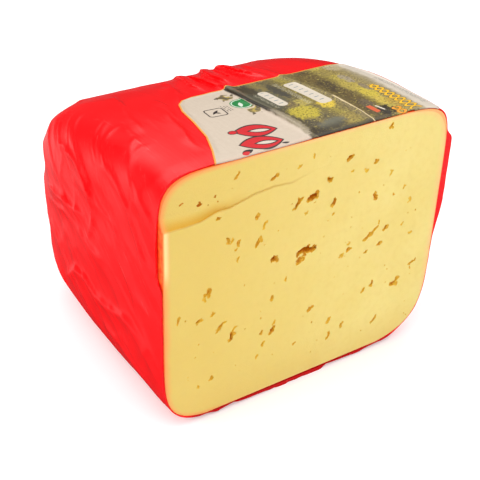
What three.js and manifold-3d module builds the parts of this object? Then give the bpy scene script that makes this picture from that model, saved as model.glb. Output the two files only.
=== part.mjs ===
// Half of a block of semi-hard cheese, as cut at a shop counter, still in its red shrink film with its top label.
// Millimetres, +Z up. The cut face looks along -Y, and the origin is under the middle of the block, on the ground.
//
// Every piece comes from one shape: a sphere pushed out into a rounded block, which a straight knife cuts at its middle.

import * as THREE from "three";
import { mergeVertices } from "three/addons/utils/BufferGeometryUtils.js";
import Module from "manifold-3d";

const wasm = await Module();
wasm.setup();

// ---------- driving dimensions ----------

const CHEESE = { width: 150, height: 126, depth: 144 }; // depth runs from the cut face to the back
const FILM_GAP = 0.3; // clearance between touching pieces
const FILM_WALL = 1.2; // the film with its small wrinkles
const FILM_WALL_BELOW = 3; // the film lies in folded pleats under the block
const LABEL_WALL = 0.4;
const FLAT_SPOT_SAG = 1; // how far the rounded underside is pressed flat by its own weight

// How square each corner of the cut face is: the exponent of a superellipse, 2 for round and higher for squarer.
const CORNERS = { rightTop: 9.4, leftTop: 8.9, leftBottom: 6.7, rightBottom: 5.2 };
const TOP_CORNERS_EASE = 0.46; // the share of their squareness that the top corners lose by the back

// How the block closes towards its back: the sides stay straight longest, the top falls away early.
const CLOSING = { sides: 6.8, top: 2.7, bottom: 7.9 };

const AROUND = 72; // facets around the block
const ALONG = 36; // facets from one end of the whole block to the other

// The knife went in twice at the upper left: the slab above the ledge is cut deeper.
const LEDGE = {
  depths: [[-75, 5], [-58, 2.6], [-42, 1], [36, 0]], // x and how much deeper, to where the two cuts meet
  line: [[-64, 39.5], [-50, 41.5], [-33, 44.5], [-13, 46], [11, 49.5], [36, 51]], // x and z of its edge
  leftEnd: 40, // the height of the ledge where it meets the left side
  filmLeftEnd: 15, // the film's edge is torn back further, down to this height
};

// The largest eyes in the cut face: centre x and z, width, height and lean in degrees.
const EYES = [
  { x: -3, z: 7, wide: 10, high: 6, lean: 12 },
  { x: -20, z: 10, wide: 4.5, high: 4.5, lean: 0 },
  { x: -1, z: 35, wide: 6.5, high: 5, lean: 15 },
  { x: -9, z: 34, wide: 3, high: 7.5, lean: -30 },
  { x: 8, z: 41, wide: 3.5, high: 3.5, lean: 0 },
  { x: 11, z: 29, wide: 3.5, high: 5, lean: -10 },
  { x: 18, z: 49, wide: 4.5, high: 3.5, lean: 20 },
  { x: -29, z: 21, wide: 3, high: 6, lean: -30 },
  { x: 34, z: 5, wide: 10, high: 2.5, lean: 25 },
  { x: 53, z: -29, wide: 7, high: 5, lean: 20 },
  { x: -41, z: -23, wide: 3.5, high: 7, lean: 0 },
  { x: -19, z: -28, wide: 3.5, high: 6, lean: 0 },
  { x: -53, z: 4, wide: 4, high: 5.5, lean: -25 },
  { x: -47, z: -16, wide: 3, high: 6, lean: -45 },
];

// The label's outline seen from above, in x and distance from the cut.
const LABEL = {
  left: [[-50, 0], [-38.5, 36], [-36, 50]],
  corner: [-31, 64],
  back: 64,
  right: 68, // just short of the block's rounded edge
};

// ---------- booleans ----------

function solid(geometry) {
  const bare = geometry.clone();
  bare.deleteAttribute("normal");
  bare.deleteAttribute("uv");
  const merged = mergeVertices(bare, 1e-4);
  return new wasm.Manifold(new wasm.Mesh({
    numProp: 3,
    vertProperties: merged.attributes.position.array,
    triVerts: new Uint32Array(merged.index.array),
  }));
}

function geometryOf(made) {
  const mesh = made.getMesh();
  const geometry = new THREE.BufferGeometry();
  geometry.setAttribute("position", new THREE.BufferAttribute(mesh.vertProperties, 3));
  geometry.setIndex(new THREE.BufferAttribute(mesh.triVerts, 1));
  geometry.computeVertexNormals();
  return geometry;
}

// ---------- the rounded block ----------

// Distance from the block's long axis to its outline, at an angle in the plane of the cut and a share of the depth.
function outlineRadius(angle, share, halfWidth, halfHeight) {
  const c = Math.cos(angle);
  const s = Math.sin(angle);
  const ease = 1 - TOP_CORNERS_EASE * share ** 2;
  const top = (c >= 0 ? CORNERS.rightTop : CORNERS.leftTop) * ease;
  const bottom = c >= 0 ? CORNERS.rightBottom : CORNERS.leftBottom;
  const n = s >= 0 ? top : bottom;
  return (Math.abs(c / halfWidth) ** n + Math.abs(s / halfHeight) ** n) ** (-1 / n);
}

// How much of the full section is left at a share of the depth, for one exponent.
function closing(share, exponent) {
  return Math.max(0, 1 - share ** exponent) ** (1 / exponent);
}

// The whole block, both halves, grown by some distance all round and by another below.
function block(grow, growBelow) {
  const halfWidth = CHEESE.width / 2 + grow;
  const halfHeight = CHEESE.height / 2 + grow;
  const depth = CHEESE.depth + grow;
  const stretchBelow = (CHEESE.height / 2 + growBelow) / halfHeight;
  const flat = -(CHEESE.height / 2 + growBelow) + FLAT_SPOT_SAG;
  const geometry = new THREE.SphereGeometry(1, AROUND, ALONG);
  const place = geometry.attributes.position;
  for (let i = 0; i < place.count; i += 1) {
    const along = THREE.MathUtils.clamp(place.getY(i), -1, 1);
    const share = Math.sqrt(Math.abs(along));
    const angle = Math.atan2(place.getZ(i), place.getX(i));
    const radius = Math.abs(along) > 0.9999 ? 0 : outlineRadius(angle, share, halfWidth, halfHeight);
    const x = Math.cos(angle) * radius * closing(share, CLOSING.sides);
    const up = Math.sin(angle) * radius;
    const z = up >= 0 ? up * closing(share, CLOSING.top) : up * stretchBelow * closing(share, CLOSING.bottom);
    place.setXYZ(i, x, Math.sign(along) * share * depth, Math.max(z, flat));
  }
  return solid(geometry);
}

// ---------- the knife ----------

// A straight cut through the middle, which takes away the other half.
function otherHalf() {
  const size = 2 * (CHEESE.width + CHEESE.height + CHEESE.depth);
  const box = new THREE.BoxGeometry(size, size, size);
  box.translate(0, -size / 2, 0);
  return solid(box);
}

// The second cut above the ledge: the slice from the first cut back to its own, slightly hollow surface.
function deeperCut(leftEnd) {
  const beyond = 30;
  const left = -CHEESE.width / 2 - beyond;
  const top = CHEESE.height / 2 + beyond;
  const [[firstX, firstDepth]] = LEDGE.depths;
  const [[lineX]] = LEDGE.line;
  const [meetX] = LEDGE.depths.at(-1);

  const fromAbove = new THREE.Shape();
  fromAbove.moveTo(meetX, -beyond);
  fromAbove.lineTo(left, -beyond);
  fromAbove.lineTo(left, firstDepth);
  fromAbove.lineTo(firstX, firstDepth);
  LEDGE.depths.slice(1).forEach(([x, depth]) => fromAbove.lineTo(x, depth));
  const slice = new THREE.ExtrudeGeometry(fromAbove, { depth: 2 * top, bevelEnabled: false });
  slice.translate(0, 0, -top);

  const fromFront = new THREE.Shape();
  fromFront.moveTo(left, top);
  fromFront.lineTo(left, leftEnd);
  fromFront.lineTo(lineX, leftEnd);
  LEDGE.line.forEach(([x, z]) => fromFront.lineTo(x, z));
  fromFront.lineTo(meetX, top);
  const aboveLedge = new THREE.ExtrudeGeometry(fromFront, { depth: 4 * beyond, bevelEnabled: false });
  aboveLedge.rotateX(Math.PI / 2);
  aboveLedge.translate(0, 2 * beyond, 0);
  return solid(slice).intersect(solid(aboveLedge));
}

// ---------- the pieces ----------

function eye({ x, z, wide, high, lean }) {
  const geometry = new THREE.SphereGeometry(1, 8, 6);
  geometry.rotateZ(0.2); // keeps the ball's corners off the plane of the cut
  geometry.scale(wide / 2, Math.min(wide, high) / 2, high / 2);
  geometry.rotateY(THREE.MathUtils.degToRad(-lean));
  geometry.translate(x, 0, z);
  return solid(geometry);
}

function cheeseGeometry() {
  const half = block(0, 0).subtract(otherHalf()).subtract(deeperCut(LEDGE.leftEnd));
  return geometryOf(EYES.reduce((made, one) => made.subtract(eye(one)), half));
}

function filmGeometry() {
  const outside = block(FILM_GAP + FILM_WALL, FILM_GAP + FILM_WALL_BELOW);
  const inside = block(FILM_GAP, FILM_GAP);
  return geometryOf(outside.subtract(inside).subtract(otherHalf()).subtract(deeperCut(LEDGE.filmLeftEnd)));
}

function labelGeometry() {
  const under = 2 * FILM_GAP + FILM_WALL;
  const sheet = block(under + LABEL_WALL, under + LABEL_WALL).subtract(block(under, under));
  const outline = new THREE.Shape();
  outline.moveTo(LABEL.right, 0);
  outline.lineTo(LABEL.right, LABEL.back);
  outline.lineTo(LABEL.corner[0] + 8, LABEL.back);
  outline.quadraticCurveTo(LABEL.corner[0], LABEL.corner[1], ...LABEL.left[2]);
  outline.lineTo(...LABEL.left[1]);
  outline.lineTo(...LABEL.left[0]);
  outline.closePath();
  const above = new THREE.ExtrudeGeometry(outline, { depth: CHEESE.height, bevelEnabled: false, curveSegments: 6 });
  return geometryOf(sheet.intersect(solid(above)).subtract(deeperCut(LEDGE.leftEnd)));
}

function piece(name, geometry, color, roughness) {
  const mesh = new THREE.Mesh(geometry, new THREE.MeshStandardMaterial({ color, roughness, metalness: 0 }));
  mesh.name = name;
  return mesh;
}

const halfBlock = new THREE.Group();
halfBlock.add(piece("cheese", cheeseGeometry(), 0xf2d98a, 0.5));
halfBlock.add(piece("film_wrap", filmGeometry(), 0xee1c24, 0.3));
halfBlock.add(piece("top_label", labelGeometry(), 0xe3d8bc, 0.4));

// The pieces are made with the cut at y = 0 and the block's middle at z = 0, so the whole is moved to its origin.
const box = new THREE.Box3().setFromObject(halfBlock);
const middle = box.getCenter(new THREE.Vector3());
halfBlock.position.set(-middle.x, -middle.y, -box.min.z);

export default halfBlock;
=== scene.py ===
"""Half a block of semi-hard cheese in red shrink film, with a printed label on its top.

The pieces are modelled in millimetres in the block's own frame: x to the right across the cut face,
y from the cut into the block and z up from the block's middle. Each finished piece is then put where
the CAD block stands, in metres.
"""

import math
import random

import bmesh
import bpy
import numpy as np
from mathutils import Matrix, Vector, noise


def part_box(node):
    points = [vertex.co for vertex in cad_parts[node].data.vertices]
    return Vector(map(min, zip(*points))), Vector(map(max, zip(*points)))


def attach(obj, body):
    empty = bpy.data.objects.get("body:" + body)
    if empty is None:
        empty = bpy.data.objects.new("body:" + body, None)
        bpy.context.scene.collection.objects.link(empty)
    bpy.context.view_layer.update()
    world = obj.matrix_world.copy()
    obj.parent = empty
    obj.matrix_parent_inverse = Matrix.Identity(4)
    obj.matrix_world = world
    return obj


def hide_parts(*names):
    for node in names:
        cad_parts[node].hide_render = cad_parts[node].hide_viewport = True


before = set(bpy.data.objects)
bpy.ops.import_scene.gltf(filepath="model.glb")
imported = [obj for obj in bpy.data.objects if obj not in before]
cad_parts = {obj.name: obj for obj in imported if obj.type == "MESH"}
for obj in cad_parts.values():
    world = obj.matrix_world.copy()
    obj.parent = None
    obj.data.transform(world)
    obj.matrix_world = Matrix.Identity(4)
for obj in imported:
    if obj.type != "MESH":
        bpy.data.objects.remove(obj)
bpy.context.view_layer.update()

# ---------- sizes, from the frame ----------

MM = 0.001
CHEESE_LOW, CHEESE_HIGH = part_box("cheese")
FILM_LOW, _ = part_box("film_wrap")

HALF_WIDTH = (CHEESE_HIGH.x - CHEESE_LOW.x) / 2 / MM
HALF_HEIGHT = 0.84 * HALF_WIDTH
DEPTH = (CHEESE_HIGH.y - CHEESE_LOW.y) / MM
CUT_MIDDLE = Vector(((CHEESE_LOW.x + CHEESE_HIGH.x) / 2, CHEESE_LOW.y, CHEESE_HIGH.z - HALF_HEIGHT * MM))
FLOOR = (FILM_LOW.z - CUT_MIDDLE.z) / MM  # the surface it stands on, in the block's frame
CHEESE_UNDERSIDE = (CHEESE_LOW.z - CUT_MIDDLE.z) / MM

# Superellipse exponents: how square each corner of the section is, and how each side closes to the back.
CORNERS = {"right_top": 9.4, "left_top": 8.9, "left_bottom": 6.7, "right_bottom": 5.2}
TOP_CORNERS_EASE = 0.46  # the share of their squareness that the top corners lose by the back
CLOSING = {"sides": 6.8, "top": 2.7, "bottom": 7.9}

# The second cut of the knife, at the upper left, as (x, how much deeper), and its ledge as (x, z).
SECOND_CUT = [
    (-105, 6), (-75, 3.4), (-60, 2.1), (-50, 1.2), (-40, 0.6), (-20, 0.3), (-8, 0.08), (36, -0.03),
]
LEDGE_LINE = [
    (-105, 40), (-78, 40), (-64, 39.5), (-57, 40), (-50, 42), (-43, 42.3), (-32, 45), (-22, 46),
    (-13, 45.3), (-1, 48), (11, 50), (24, 50.6), (36, 51),
]
LEDGE_HOLLOW = 4.5  # the height over which the second cut curves in above its ledge
FILM_TORN_TO = 15.0  # the height down to which the film's edge is torn back at the left

BACK_SETTLES = 1.2  # how much smaller the block is all round towards its back than the plain curves say
FILM_LIFT = 0.5  # from the cheese to the film's outer face, where it clings
FILM_INNER_LIFT = 0.15  # from the cheese to the film's inner face
LABEL_LIFT = 0.4  # from the film to the label's outer face
LABEL_DIP = 0.55  # how far the label bends down at the cut
LABEL_WALL = 0.2  # the paper's thickness

# The label's left edge from above: (distance from the cut, x).
LABEL_LEFT_EDGE = [(0, -50), (9, -46), (22, -41), (37, -38), (50, -36), (58, -33), (62, -29), (64, -23)]
LABEL_LENGTH = 64.0
LABEL_RIGHT_END = 68.0
LABEL_OVERHANG = 1.3  # how far the film stays behind the label at the cut

# How far the film hangs below the cheese at the cut: (x, depth).
BOTTOM_FLAPS = [
    (-75, 0.3), (-66, 0.6), (-60, 0.8), (-54, 1.0), (-51, 1.4), (-48, 2.2), (-46, 2.4), (-45, 0.2),
    (-40, 0.3), (-39, 0.8), (-36, 1.8), (-33, 2.1), (-21, 2.3), (-18, 2.8), (-15, 2.6), (-13, 3.6),
    (-9, 3.8), (-7.5, 2.6), (-3, 3.1), (0, 2.6), (3, 3.0), (6, 3.6), (9, 3.9), (12, 3.2), (14, 1.5),
    (15, 1.1), (18, 1.6), (24, 1.9), (30, 2.0), (33, 2.4), (36, 2.4), (39, 1.7), (48, 1.1), (54, 1.5),
    (60, 1.0), (66, 0.6), (75, 0.3),
]
BOTTOM_GAP = (-45.0, -39.5)  # between these the film is torn back under the cheese

# The camera: how it is turned, in degrees, and the point that it looks at, in the block's frame.
CAMERA_AZIMUTH, CAMERA_ELEVATION, CAMERA_ROLL = 34.53, 32.09, -1.94
CAMERA_AIM = (-22.9, 22.2, 8.5)
CAMERA_DISTANCE = 441
CAMERA_LENS = 74.05

random.seed(7)


# ---------- the rounded block ----------

def read_between(rows, at):
    """The second numbers of rows, read between them where the first ones are at the given values."""
    first, second = zip(*rows)
    return np.interp(at, first, second)


def smoothstep(low, high, values):
    t = np.clip((values - low) / (high - low), 0, 1)
    return t * t * (3 - 2 * t)


def outline_radius(angle, share, half_width, half_height):
    """Distance from the block's long axis to its outline, at angles and shares of the depth."""
    c, s = np.cos(angle), np.sin(angle)
    ease = 1 - TOP_CORNERS_EASE * share ** 2
    top = np.where(c >= 0, CORNERS["right_top"], CORNERS["left_top"]) * ease
    bottom = np.where(c >= 0, CORNERS["right_bottom"], CORNERS["left_bottom"])
    n = np.where(s >= 0, top, bottom)
    return (np.abs(c / half_width) ** n + np.abs(s / half_height) ** n) ** (-1 / n)


def closing(share, exponent):
    """How much of the full section is left at a share of the depth."""
    return np.clip(1 - share ** exponent, 0, None) ** (1 / exponent)


def block_points(angle, share, grow=0.0):
    """Points on the block, grown all round, at angles about its long axis and shares of its depth."""
    wider = grow - BACK_SETTLES * smoothstep(0.4, 0.8, share)
    radius = outline_radius(angle, share, HALF_WIDTH + wider, HALF_HEIGHT + wider)
    x = np.cos(angle) * radius * closing(share, CLOSING["sides"])
    up = np.sin(angle) * radius
    z = up * np.where(up >= 0, closing(share, CLOSING["top"]), closing(share, CLOSING["bottom"]))
    return np.stack([x, share * (DEPTH + grow), z], axis=1)


def section_points(angle):
    """Points on the block's outline at the cut."""
    return block_points(angle, np.zeros_like(angle))


def even_steps(curve, low, high, shares):
    """The curve's parameter at equal shares of its length."""
    parameter = np.linspace(low, high, 4001)
    steps = np.linalg.norm(np.diff(curve(parameter), axis=0), axis=1)
    run = np.concatenate([[0], np.cumsum(steps)])
    return np.interp(np.asarray(shares) * run[-1], run, parameter)


def around_angle(shares):
    """Angles that step round the section from its right-hand middle, closer together at the upper left."""
    corner = 0.375
    closer = 0.3
    turned = np.sin(math.tau * (shares - corner)) + math.sin(math.tau * corner)
    return even_steps(section_points, 0, math.tau, shares - closer / math.tau * turned)


def depth_share(shares):
    """Shares of the depth that step evenly from the cut to the back's middle."""
    return even_steps(lambda s: block_points(np.zeros_like(s), s), 0, 1, shares)


# ---------- mesh helpers ----------

def grid(columns, rows):
    """A flat grid and its columns' and rows' shares, both from 0 to 1."""
    bm = bmesh.new()
    bmesh.ops.create_grid(bm, x_segments=columns, y_segments=rows, size=1)
    flat = np.array([v.co for v in bm.verts])
    return bm, (flat[:, 0] + 1) / 2, (flat[:, 1] + 1) / 2


def set_points(bm, points):
    for vert, point in zip(bm.verts, points):
        vert.co = point


def points_and_normals(bm):
    bm.normal_update()
    points = np.array([v.co for v in bm.verts])
    normals = np.array([v.normal for v in bm.verts])
    return points, normals


def wrapped(columns, rows, place):
    """A grid rolled round the block: its two sides meet in a seam and its last row in one point."""
    bm, across, along = grid(columns, rows)
    set_points(bm, place(around_angle(across), depth_share(along)))
    bmesh.ops.remove_doubles(bm, verts=bm.verts, dist=0.002)
    bmesh.ops.recalc_face_normals(bm, faces=bm.faces)
    middle = Vector((0, DEPTH / 2, 0))
    face = max(bm.faces, key=lambda f: f.calc_center_median().z)
    if face.normal.dot(face.calc_center_median() - middle) < 0:
        bmesh.ops.reverse_faces(bm, faces=bm.faces)
    return bm


def add_object(name, data):
    made = bpy.data.objects.new(name, data)
    bpy.context.scene.collection.objects.link(made)
    return made


def piece(bm, name, materials):
    """Turns a mesh in the block's frame into a finished object where the CAD block stands."""
    bm.transform(Matrix.Translation(CUT_MIDDLE) @ Matrix.Scale(MM, 4))
    mesh = bpy.data.meshes.new(name)
    bm.to_mesh(mesh)
    bm.free()
    for material in materials:
        mesh.materials.append(material)
    mesh.polygons.foreach_set("use_smooth", [True] * len(mesh.polygons))
    return add_object(name, mesh)


def apply_modifiers(made):
    """Replaces an object's mesh by what its modifiers make of it."""
    depsgraph = bpy.context.evaluated_depsgraph_get()
    mesh = bpy.data.meshes.new_from_object(made.evaluated_get(depsgraph))
    made.modifiers.clear()
    made.data = mesh


def noise_place(points, scale, seed):
    """Where noise is read for points. The scale is in millimetres, one number or one for each axis."""
    return np.asarray(points) / np.asarray(scale) + seed


def noise_at(points, scale, seed=0.0):
    """Smooth noise, about -1 to 1."""
    return np.array([noise.noise(p) for p in noise_place(points, scale, seed)])


def cells_at(points, scale, seed):
    """Distance to the nearest of scattered points, in cells: sharp ridges between shallow bowls."""
    return np.array([noise.voronoi(p)[0][0] for p in noise_place(points, scale, seed)])


def creases_at(points, scale, seed):
    """1 on the borders between scattered points' cells and 0 inside them."""
    distances = [noise.voronoi(p)[0] for p in noise_place(points, scale, seed)]
    to_border = np.array([d[1] - d[0] for d in distances])
    return np.exp(-((to_border / 0.08) ** 2))


# ---------- the film's folds ----------

def fold(points, normals, path, height, width, ease=2.6, roll=0.0):
    """How far a fold along a path lifts each point, and how far it rolls over to its steep side.

    The fold is steep on the left of its path, seen from outside, and eases off on the right.
    """
    path = np.asarray(path, float)
    lengths = np.linalg.norm(np.diff(path, axis=0), axis=1)
    starts = np.concatenate([[0], np.cumsum(lengths)])
    nearest = np.full(len(points), 1e9)
    side = np.zeros(len(points))
    run = np.zeros(len(points))
    for start, end, length, begun in zip(path[:-1], path[1:], lengths, starts):
        along = (end - start) / length
        offset = points - start
        t = np.clip(offset @ along, 0, length)
        away = offset - t[:, None] * along
        distance = np.linalg.norm(away, axis=1)
        closer = distance < nearest
        left = np.cross(normals, along)
        side = np.where(closer, np.sum(away * left, axis=1), side)
        run = np.where(closer, begun + t, run)
        nearest = np.where(closer, distance, nearest)
    breadth = np.where(side > 0, width, width * ease)
    ends = np.minimum(run, starts[-1] - run) / starts[-1]
    lift = height * np.exp(-((nearest / breadth) ** 1.4)) * smoothstep(0, 0.3, ends)
    return lift, roll * np.exp(-((nearest / (0.6 * width)) ** 2)) * smoothstep(0, 0.3, ends)


# Folds on the left side: (height, width, path), with the path in distance from the cut and z.
LEFT_FOLDS = [
    (1.7, 1.1, [(110, 36), (90, 40), (76, 39), (67, 36), (59, 29), (57, 20), (60, 11), (70, 0)]),
    (1.0, 1.0, [(84, 48), (72, 42), (63, 34), (57, 25)]),
    (1.1, 1.2, [(62, 57), (45, 50), (34, 45), (28, 40), (18, 30), (12, 20), (8, 6)]),
    (0.9, 1.0, [(30, 58), (17, 51), (9, 45), (2, 34)]),
    (1.5, 2.2, [(126, 4), (101, 10), (83, 11), (62, 14)]),
    (1.0, 1.2, [(126, -4), (106, 2), (92, 5), (76, 2)]),
    (0.6, 0.8, [(103, 42), (102, 28), (104, 12)]),
    (0.6, 0.8, [(95, 44), (93, 30), (96, 15)]),
    (1.2, 2.4, [(84, 4), (64, 1), (46, 1)]),
    (1.6, 1.8, [(108, -44), (95, -33), (82, -23), (70, -22), (62, -27), (43, -22), (28, -20), (8, -24)]),
    (1.1, 1.4, [(42, 30), (35, 19), (29, 9), (25, 1), (19, -10)]),
    (1.0, 1.1, [(28, 42), (20, 30), (14, 23), (8, 20), (0, 17)]),
    (1.1, 1.6, [(124, -26), (108, -36), (96, -50)]),
    (0.9, 1.6, [(130, -12), (112, -13), (94, -22)]),
    (0.8, 1.6, [(62, -38), (40, -40), (14, -47)]),
]

# Folds on the right side, as distance from the cut and z.
RIGHT_FOLDS = [
    (1.2, 1.6, [(30, 34), (56, 24), (84, 20), (112, 8)]),
    (1.0, 1.4, [(34, 6), (62, 2), (90, -10), (122, -14)]),
    (1.1, 1.6, [(24, -26), (50, -22), (78, -34), (104, -36)]),
    (0.9, 1.4, [(60, 48), (84, 38), (110, 34)]),
]

# Folds on the top that roll over onto the film at their left: (height, width, ease, roll, path), with the
# path in x and distance from the cut. The first two run through the label, whose picture starts at PLEAT.
PLEAT = [
    (-3.2, -28), (-3.2, 14), (-4, 26), (-5.4, 36), (-6.2, 46), (-5.4, 54), (-4.2, 64), (-4.8, 74),
    (-4, 88), (-1, 104), (3, 122),
]
SMALL_PLEAT = [(29, -28), (28.8, 0), (29.8, 30), (27, 46), (25.4, 64), (25.4, 86), (30, 104), (36, 120)]
ROLLED_FOLDS = [
    (1.9, 1.0, 2.6, 2.2, PLEAT),
    (0.8, 0.9, 3.0, 0.9, SMALL_PLEAT),
    (2.2, 1.5, 2.6, 2.0, [(-1, 62), (2, 72), (2.4, 85), (6, 98), (12, 110), (18, 124)]),
    (2.4, 1.5, 2.6, 2.0, [(23, 64), (18.6, 74), (16.6, 85), (19, 98), (22, 110), (26, 124)]),
    (1.1, 0.9, 2.6, 1.0, [(7, 66), (9, 84), (14, 104), (20, 122)]),
    (1.8, 1.4, 2.6, 1.6, [(-13, 62), (-13, 78), (-9, 92), (-3, 110), (1, 122)]),
]

# Softer folds on the top.
TOP_FOLDS = [
    (0.8, 1.2, [(39, 26), (40.5, 10), (42, -4)]),
    (0.9, 1.2, [(-30, 66), (-24, 80), (-12, 112)]),
    (0.7, 1.0, [(-36, 74), (-40, 55), (-42, 42)]),
    (0.8, 1.0, [(-41, 64), (-43, 52), (-46, 32), (-50, 12)]),
    (0.8, 1.0, [(-52, 76), (-57, 60), (-59, 40)]),
    (0.9, 1.2, [(-22, 92), (-25, 72), (-33, 58)]),
    (0.8, 1.0, [(-62, 60), (-64, 40), (-67, 18)]),
    (0.9, 1.0, [(-46, 100), (-50, 80), (-56, 60)]),
]

# Folds on the back, as x and z: gathers that run from the corners to the seal across the middle.
BACK_FOLDS = [
    (1.5, 1.6, [(-66, 36), (-48, 24), (-30, 8)]),
    (1.2, 1.4, [(-58, 46), (-42, 30), (-20, 7)]),
    (1.5, 1.6, [(64, 38), (46, 22), (28, 8)]),
    (1.2, 1.4, [(52, 48), (34, 28), (16, 7)]),
    (1.5, 1.6, [(-66, -42), (-46, -24), (-26, -8)]),
    (1.1, 1.4, [(-46, -52), (-34, -32), (-18, -8)]),
    (1.5, 1.6, [(66, -40), (46, -24), (24, -8)]),
    (1.1, 1.4, [(48, -52), (30, -30), (14, -8)]),
    (0.9, 1.6, [(-8, 40), (-4, 24), (2, 7)]),
    (0.9, 1.6, [(6, -50), (2, -30), (-4, -8)]),
]
SEAL_HALF_LENGTH = 58.0
SEAL_HALF_HEIGHT = 6.0


def on_left_side(path):
    return [(-HALF_WIDTH, y, z) for y, z in path]


def on_right_side(path):
    return [(HALF_WIDTH, y, z) for y, z in path]


def on_top(path):
    """Points on the block's top above (x, y) points."""
    return [(x, y, HALF_HEIGHT * closing(max(y, 0) / DEPTH, CLOSING["top"])) for x, y in path]


def on_back(path):
    """Points on the block's back at (x, z) points: the deepest section that still reaches each."""
    shares = np.linspace(0.3, 1, 400)
    found = []
    for x, z in path:
        half_height = HALF_HEIGHT * closing(shares, CLOSING["top" if z > 0 else "bottom"])
        half_width = HALF_WIDTH * closing(shares, CLOSING["sides"])
        inside = (abs(x) / (half_width + 1e-6)) ** 6 + (abs(z) / (half_height + 1e-6)) ** 6 < 1
        found.append((x, DEPTH * shares[inside].max(), z))
    return found


def under_label(points):
    """1 well inside the label's outline and 0 outside it."""
    x, y, z = points.T
    from_left = smoothstep(0.4, 2.4, x - read_between(LABEL_LEFT_EDGE, y))
    covered = from_left * smoothstep(-0.4, -2.4, x - LABEL_RIGHT_END)
    return covered * smoothstep(-0.4, -2.4, y - LABEL_LENGTH) * smoothstep(50, 55, z)


def freed(y, low, high):
    """0.3 at the cut, where the knife pressed the film onto the cheese, and 1 away from it."""
    return 0.3 + 0.7 * smoothstep(low, high, y)


def film_relief(points, normals):
    """How far the film stands off the block at points on it: one vector each, in millimetres."""
    x, y, z = points.T
    warp = np.stack([noise_at(points, 14, seed) for seed in (3.1, 17.7, 42.3)], axis=1)
    bent = points + 1.6 * warp
    lift = 0.3 * (1 + noise_at(points, 38, 5.0))

    # Slack film lies in flat patches with ridges between, drawn out along the way it was pulled.
    left_side = smoothstep(-60, -72, x)
    leaning = np.stack([x, y * 0.64 - z * 0.77, y * 0.77 + z * 0.64], axis=1)
    lift += 2.4 * left_side * cells_at(leaning + 2.0 * warp, (30, 17, 48), 9.0) ** 2
    lift += 0.5 * left_side * creases_at(leaning + 1.5 * warp, (30, 15, 60), 2.0)
    lift *= 1 - 0.7 * left_side * smoothstep(-28, -52, z)
    right_side = 1.6 * smoothstep(62, 73, x) * smoothstep(6, 30, y)
    lift += right_side * cells_at(leaning + 2.0 * warp, (30, 19, 52), 13.0) ** 2
    back = smoothstep(100, 136, y)
    lift += 1.6 * back * cells_at(bent, (26, 26, 18), 2.0) ** 2
    lift += 0.6 * (1 - back) * (1 - left_side) * cells_at(bent, (14, 60, 30), 4.0) ** 2

    for folds, place in (
        (LEFT_FOLDS, on_left_side),
        (TOP_FOLDS, on_top),
        (RIGHT_FOLDS, on_right_side),
        (BACK_FOLDS, on_back),
    ):
        for height, width, path in folds:
            lift += fold(bent, normals, place(path), height, width)[0]
    lift *= 1 - 0.7 * under_label(points)
    pleats, rolled = 0, 0
    for height, width, ease, roll, path in ROLLED_FOLDS:
        raised, over = fold(points, normals, on_top(path), height, width, ease, roll)
        pleats = np.maximum(pleats, raised)
        rolled = np.maximum(rolled, over)

    # The seal across the back is a flat strip, pressed against the block.
    seal = smoothstep(SEAL_HALF_LENGTH, SEAL_HALF_LENGTH - 2, np.abs(bent[:, 0]))
    seal *= smoothstep(SEAL_HALF_HEIGHT, SEAL_HALF_HEIGHT - 1.6, np.abs(bent[:, 2]))
    lift += 1.0 * back * seal

    lift *= freed(y, 0, 11)
    lift += pleats * freed(y, 0, 12)

    # On the right side the film was pulled off the cheese near the cut.
    pulled = 3.4 * smoothstep(60, 74, x) * smoothstep(32, 0, y)
    lift += pulled * smoothstep(-14, 12, z) * smoothstep(49, 43, z)

    # Under the block the film lies in loose folds that reach the ground, and hangs in rags at the cut.
    under = smoothstep(-55, -62, z)
    loose = 0.6 + 2.4 * cells_at(bent, (17, 40, 30), 6.0)
    rags = read_between(BOTTOM_FLAPS, x) - (np.clip(CHEESE_UNDERSIDE - z, 0, None) - 0.1)
    far = smoothstep(3, 14, y)
    lift = lift * (1 - under) + under * (rags * (1 - far) + loose * far)

    moved = normals * lift[:, None]
    moved[:, 0] -= rolled * freed(y, 2, 20)
    return moved


# ---------- the cut ----------

def deeper_by(x, z):
    """How much deeper than the first cut the second one goes at a point of the cut face."""
    return max(float(read_between(SECOND_CUT, x)), 0.0) if z > read_between(LEDGE_LINE, x) else 0.0


def film_edge(points):
    """How far behind the first cut the film's edge lies, round the section."""
    x, _, z = points.T
    torn = smoothstep(FILM_TORN_TO - 2, FILM_TORN_TO + 1.5, z)
    set_back = np.clip(read_between(SECOND_CUT, x), 0, None) * torn
    ragged = 0.2 * noise_at(points, 6, 21.0)
    low, high = BOTTOM_GAP
    gap = smoothstep(low, low + 1, x) * smoothstep(high, high - 1, x)
    return set_back + 0.25 + ragged + 6.0 * gap * smoothstep(-50, -56, z)


# ---------- shader maths ----------

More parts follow.
